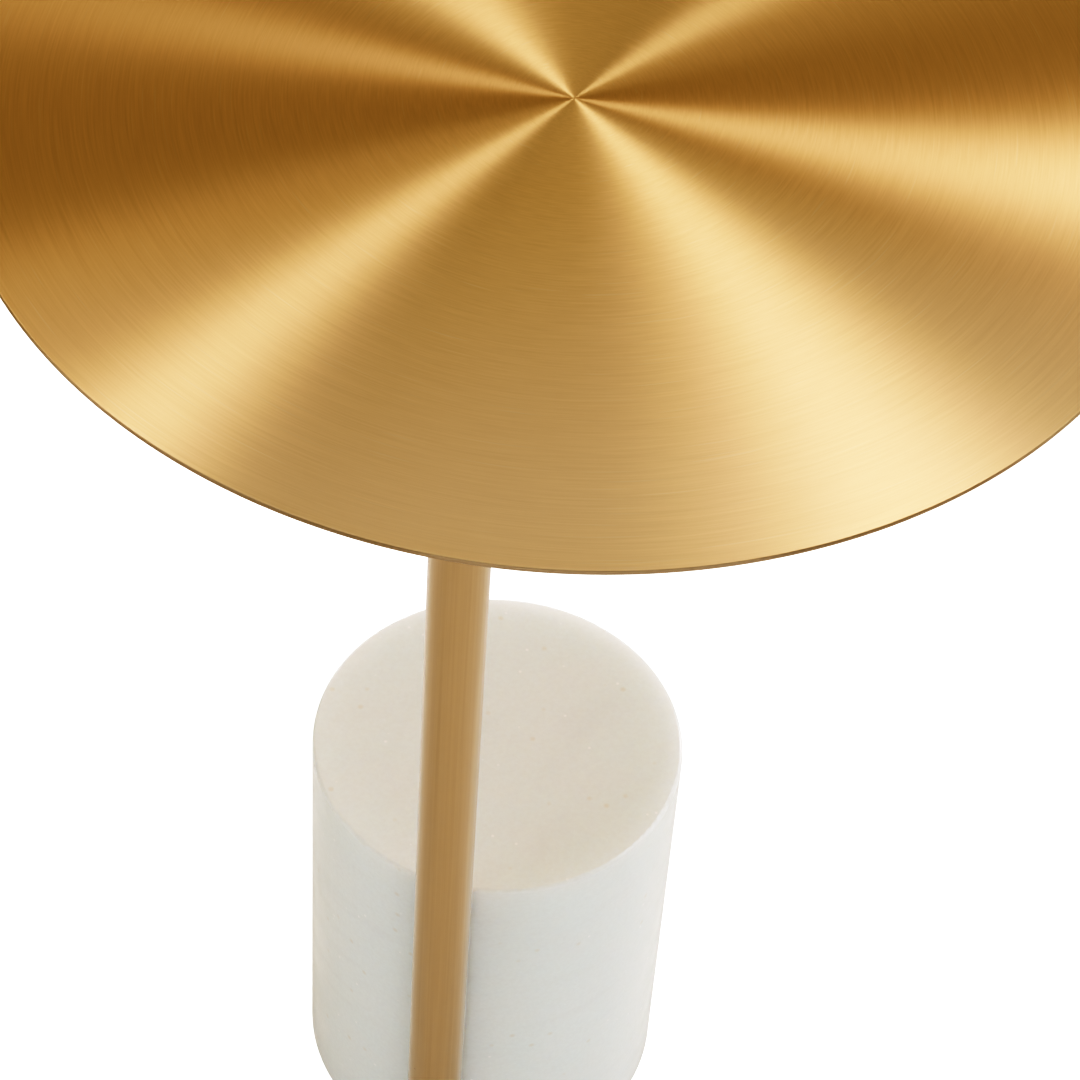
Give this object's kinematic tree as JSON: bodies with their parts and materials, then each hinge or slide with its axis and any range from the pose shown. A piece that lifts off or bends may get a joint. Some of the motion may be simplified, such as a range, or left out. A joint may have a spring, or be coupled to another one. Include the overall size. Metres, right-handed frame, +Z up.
{
  "type": "wine table",
  "caption": "Small round side table: a thin brushed brass disc on an offset brass pole that stands against a white marble drum, whose weight balances the top.",
  "frame": {"origin": "on the floor, under the middle of the round top", "axes": "+Z up; the table is symmetric about X = 0; the pole stands towards -Y, the front"},
  "size_m": [0.4399, 0.44, 0.503],
  "materials": {
    "brass_top": "satin, brushed in circles about the middle",
    "brass": "satin, brushed along its length",
    "steel": "bright zinc",
    "marble": "honed white marble with faint grey veins",
    "rubber": "matte black moulded rubber"
  },
  "bodies": {
    "root": {"table_top": "brass_top", "pole_tube": "brass", "top_flange": "brass", "base_plate": "brass", "stud_cap_nuts": "brass", "top_studs": "steel", "stud_washers": "steel", "stud_lock_washers": "steel", "flange_screws": "steel", "pole_head_plug": "steel", "pole_foot_plug": "steel", "foot_screws": "steel", "drum_inserts": "steel", "drum_screws": "steel", "marble_drum": "marble", "drum_gasket": "rubber", "rubber_foot_1": "rubber", "rubber_foot_2": "rubber", "rubber_foot_3": "rubber", "rubber_foot_4": "rubber", "rubber_foot_5": "rubber"}
  },
  "joints": []
}
